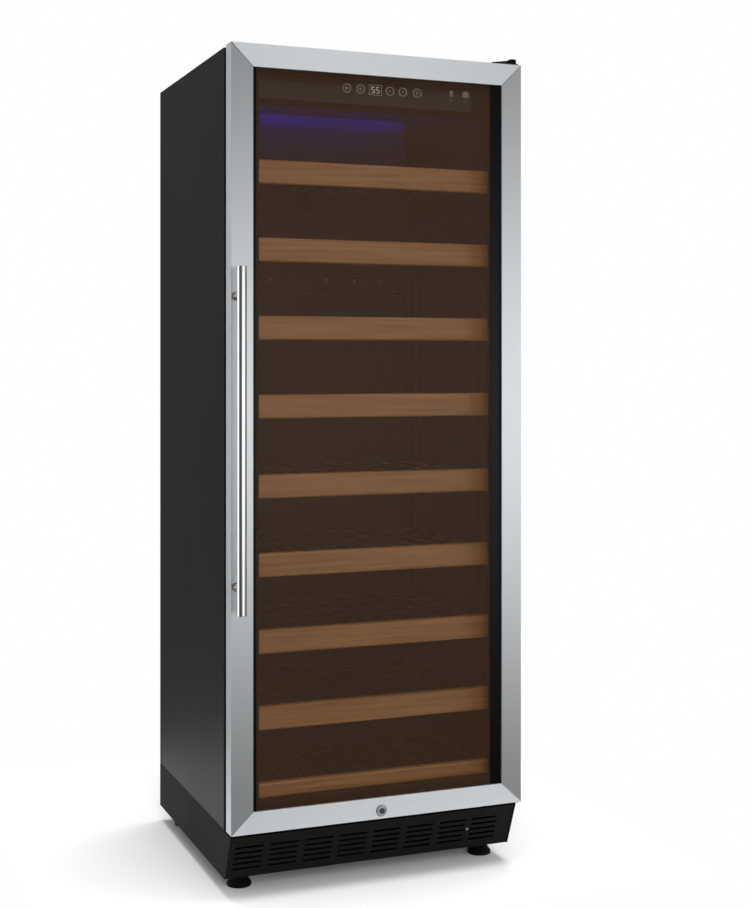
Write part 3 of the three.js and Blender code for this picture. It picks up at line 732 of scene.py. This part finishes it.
fan_centre = middle("evaporator_fan")
guard_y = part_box("evaporator_cover")[0].y - 1.2 * MM
bm = bmesh.new()
for radius_mm in (14, 24, 34, 44, 54, 64):
    hoop = turned([(radius_mm - 0.9, 0), (radius_mm, -0.9), (radius_mm + 0.9, 0), (radius_mm, 0.9),
                   (radius_mm - 0.9, 0)], Vector((fan_centre.x, guard_y, fan_centre.z)), (0, 1, 0), 40)
    spare = bpy.data.meshes.new("hoop")
    hoop.to_mesh(spare)
    hoop.free()
    bm.from_mesh(spare)
    bpy.data.meshes.remove(spare)
for spoke in range(4):
    a = FULL_TURN * (spoke + 0.5) / 4
    arm = Vector((math.cos(a), 0, math.sin(a)))
    centre = Vector((fan_centre.x, guard_y + 0.8 * MM, fan_centre.z))
    draw_wire(bm, [centre + arm * 10 * MM, centre + arm * 68 * MM], 1.1 * MM, 8)
to_piece(bm, "evaporator_fan_guard", WIRE_COAT, "cabinet")

# %% [markdown]
# ## Control panel
# The touch keys are outlines printed on the dark panel and lit from behind: round keys on both sides of a
# small two-digit display, and two indicator lamps further right. They are fine raised lines, drawn as curves
# with a round section and then turned into meshes.

# %% Symbols and digits
PANEL_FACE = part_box("control_panel")[0].y - 0.15 * MM
KEY_HEIGHT = 1765 * MM
KEY_RADIUS = 9.2 * MM
RING_LINE = 0.55 * MM
SIGN_LINE = 0.42 * MM
DIGIT_LINE = 0.6 * MM
WINDOW_LINE = 0.4 * MM
LAMP_LINE = 0.75 * MM
MARK_LINE = 0.5 * MM
LAMP_X = (196, 232)
LAMP_RISE = 5 * MM


def arc(centre, radius, start, end, steps=28):
    angles = [math.radians(start + (end - start) * s / steps) for s in range(steps + 1)]
    return [(centre[0] + radius * math.cos(a), centre[1] + radius * math.sin(a)) for a in angles]


def draw_lines(name, outlines, material, thickness):
    """Each outline is a list of (x, z) points on the panel."""
    data = bpy.data.curves.new(name, "CURVE")
    data.dimensions = "3D"
    data.bevel_depth = thickness
    data.bevel_resolution = 1
    data.use_fill_caps = True
    for outline in outlines:
        spline = data.splines.new("POLY")
        spline.points.add(len(outline) - 1)
        for point, (x, z) in zip(spline.points, outline):
            point.co = (x, PANEL_FACE, z, 1)
    drawing = bpy.data.objects.new(name, data)
    scene.collection.objects.link(drawing)
    bpy.context.view_layer.update()
    mesh = bpy.data.meshes.new_from_object(drawing.evaluated_get(bpy.context.evaluated_depsgraph_get()))
    bpy.data.objects.remove(drawing)
    return finish_piece(name, mesh, material, "cabinet")


def scaled(points, x, unit):
    return [(x + px * unit, KEY_HEIGHT + pz * unit) for px, pz in points]


UNIT = KEY_RADIUS / 15
KEY_SIGNS = {
    -60: [[(-4, -4), (4, -4), (4, 1), (-4, 1), (-4, -4)], arc((0, 1), 2.8, 0, 180, 10)],
    -27: [arc((0, 0), 4.6, 125, 415, 20), [(0, 0.5), (0, 5.5)]],
    44: [[(-4, -2), (0, 3), (4, -2)]],
    75.5: [[(-4, 2), (0, -3), (4, 2)]],
    111: [arc((0, 1), 3.6, -50, 230, 16) + [(-2.3, -4.5), (2.3, -4.5), (2.3, -1.8)]],
}
rings = [arc((x_mm * MM, KEY_HEIGHT), KEY_RADIUS, 0, 360, 40) for x_mm in KEY_SIGNS]
signs = [scaled(stroke, x_mm * MM, UNIT) for x_mm, strokes in KEY_SIGNS.items() for stroke in strokes]
draw_lines("touch_key_rings", rings, SYMBOL_LIGHT, RING_LINE)
draw_lines("touch_key_signs", signs, SYMBOL_LIGHT, SIGN_LINE)

DISPLAY_X = 8.5 * MM
DIGIT_HALF = (3.4 * MM, 6.2 * MM)
SEGMENTS = {
    "top": ((-1, 1), (1, 1)), "middle": ((-1, 0), (1, 0)), "bottom": ((-1, -1), (1, -1)),
    "upper_left": ((-1, 1), (-1, 0)), "lower_right": ((1, 0), (1, -1)),
}
BAR_TRIM = 0.86
digits = []
for x in (DISPLAY_X - 5.6 * MM, DISPLAY_X + 5.6 * MM):
    for start, end in SEGMENTS.values():
        reach_x = DIGIT_HALF[0] * (BAR_TRIM if start[1] == end[1] else 1)
        a = (x + start[0] * reach_x, KEY_HEIGHT + start[1] * DIGIT_HALF[1])
        b = (x + end[0] * reach_x, KEY_HEIGHT + end[1] * DIGIT_HALF[1])
        digits.append([a, b])
draw_lines("display_digits", digits, DIGIT_LIGHT, DIGIT_LINE)
window = [(-15, -11), (15, -11), (15, 11), (-15, 11), (-15, -11)]
draw_lines("display_window_line", [[(DISPLAY_X + px * MM, KEY_HEIGHT + pz * MM) for px, pz in window]],
           SYMBOL_LIGHT, WINDOW_LINE)

lamp_signs = [arc((0, 2.4), 2.2, -60, 240, 14) + [(-3.4, -5), (3.4, -5), (1.1, 0.4)]]
glass_pair = [[(-5.5, -5), (-0.6, -5), (-0.6, 1), (-2, 5), (-4, 5), (-5.5, 1), (-5.5, -5)],
              [(5.5, -5), (0.6, -5), (0.6, 1), (2, 5), (4, 5), (5.5, 1), (5.5, -5)]]
LAMP_UNIT = 1.15 * MM
lamps = [[(x_mm * MM + px * LAMP_UNIT, KEY_HEIGHT + LAMP_RISE + pz * LAMP_UNIT) for px, pz in stroke]
         for x_mm, strokes in zip(LAMP_X, (lamp_signs, glass_pair)) for stroke in strokes]
draw_lines("indicator_lamps", lamps, SYMBOL_LIGHT, LAMP_LINE)
marks = [[(x_mm * MM, KEY_HEIGHT - 10 * MM), (x_mm * MM, KEY_HEIGHT - 13.5 * MM)] for x_mm in LAMP_X]
draw_lines("indicator_marks", marks, SYMBOL_LIGHT, MARK_LINE)
print("symbols drawn")

# %% [markdown]
# ## Machinery
# The compressor, the hot coil, its fan and shroud are only seen through the slots and from behind, but they
# are finished like the rest.

# %% Machine compartment
eased("compressor", BLACK_COAT, 1.5, 3)
eased("condenser", COIL_PAINT, 0.2, 1)
eased("condenser_fan", BLACK_ABS, 0.3, 1)
eased("fan_shroud", ZINC, 0.6, 2)

# %% [markdown]
# ## Studio
# The machine stands on a pale floor in a bright, even room. Steel shows what stands around it, so the room
# is brightest at chest height in front and falls off above and below: that is what shades the frame from
# bright in the middle to grey at its ends. The backdrop itself is plain white.

# %% Floor, room and lamps
scene.view_settings.view_transform = "Standard"

bm = bmesh.new()
FLOOR_HALF = 0.75
FLOOR_IN_FRONT = 0.52
bmesh.ops.create_grid(bm, x_segments=1, y_segments=1, size=FLOOR_HALF,
                      matrix=Matrix.Translation((0, FLOOR_HALF - FLOOR_IN_FRONT, 0)))
floor_mesh = bpy.data.meshes.new("floor")
bm.to_mesh(floor_mesh)
bm.free()
floor = bpy.data.objects.new("floor", floor_mesh)
scene.collection.objects.link(floor)
FLOOR_PAINT, shader = new_finish("pale_floor", "#f2f2f2", 0.9, 0.0, Specular_IOR_Level=0.1)
floor_mesh.materials.append(FLOOR_PAINT)

world = bpy.data.worlds.new("room")
world.use_nodes = True
scene.world = world
background = world.node_tree.nodes["Background"]
direction = add(world, "ShaderNodeTexCoord")
parts = add(world, "ShaderNodeSeparateXYZ", {"Vector": direction.outputs["Generated"]})
forward = add(world, "ShaderNodeMath", {0: parts.outputs["Y"], 1: -1.0}, operation="MULTIPLY")
azimuth = add(world, "ShaderNodeMath", {0: parts.outputs["X"], 1: forward.outputs[0]}, operation="ARCTAN2")
elevation = add(world, "ShaderNodeMath", {0: parts.outputs["Z"]}, operation="ARCSINE")


def offset_squared(angle, centre, spread):
    """((angle - centre) / spread) squared, with centre and spread in degrees."""
    scaled_angle = add(world, "ShaderNodeMath", {0: angle.outputs[0], 1: 1 / math.radians(spread),
                                                 2: -centre / spread}, operation="MULTIPLY_ADD")
    return add(world, "ShaderNodeMath", {0: scaled_angle.outputs[0], 1: 2.0}, operation="POWER")


def soft_patch(total, strength, turn, turn_spread, height, height_spread):
    """A bright patch of wall that fades out all round, added to the light so far."""
    aside = offset_squared(azimuth, turn, turn_spread)
    above = offset_squared(elevation, height, height_spread)
    away = add(world, "ShaderNodeMath", {0: aside.outputs[0], 1: above.outputs[0]}, operation="ADD")
    minus = add(world, "ShaderNodeMath", {0: away.outputs[0], 1: -1.0}, operation="MULTIPLY")
    fade = add(world, "ShaderNodeMath", {0: minus.outputs[0]}, operation="EXPONENT")
    return add(world, "ShaderNodeMath", {0: fade.outputs[0], 1: strength, 2: total}, operation="MULTIPLY_ADD")


WALLS = 0.07
patches = {
    "front_wall": (2.3, 28, 29, -1.8, 9.4),
    "front_core": (1.1, 22, 10, -1.8, 9.4),
    "high_front": (2.4, 21, 8, 35, 14),
    "left_strip": (3.0, -106, 20, 0, 30),
    "right_wall": (0.35, 110, 45, 5, 40),
    "ceiling": (0.9, 0, 2000, 90, 45),
}
total = WALLS
for patch in patches.values():
    total = soft_patch(total, *patch).outputs[0]
rays = add(world, "ShaderNodeLightPath")
seen = add(world, "ShaderNodeMix", {0: rays.outputs["Is Camera Ray"], 2: total, 3: 1.0}, data_type="FLOAT")
world.node_tree.links.new(seen.outputs[0], background.inputs["Color"])


def area_light(name, place, target, size, power, hex_code="#ffffff"):
    data = bpy.data.lights.new(name, "AREA")
    data.shape = "RECTANGLE"
    data.size, data.size_y = size
    data.energy = power
    data.color = colour(hex_code)[:3]
    lamp = bpy.data.objects.new(name, data)
    lamp.location = place
    lamp.rotation_euler = (Vector(target) - Vector(place)).to_track_quat("-Z", "Y").to_euler()
    scene.collection.objects.link(lamp)
    return lamp


for name, place, target, size, power in (
    ("overhead", (0.2, 0.0, 3.6), (0.0, 0.0, 0.0), (3.0, 2.5), 150),
    ("front_fill", (-0.5, -3.3, 1.2), (0.0, -0.2, 1.0), (1.6, 2.0), 80),
):
    lamp = area_light(name, place, target, size, power)
    lamp.visible_glossy = False
strip_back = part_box("light_strip")[1].y
diodes = area_light("blue_diodes", (0.03, strip_back + 0.01, 1.752), (0.06, 0.28, 1.92), (0.56, 0.02),
                    26, "#2410e0")
diodes.data.spread = math.radians(48)
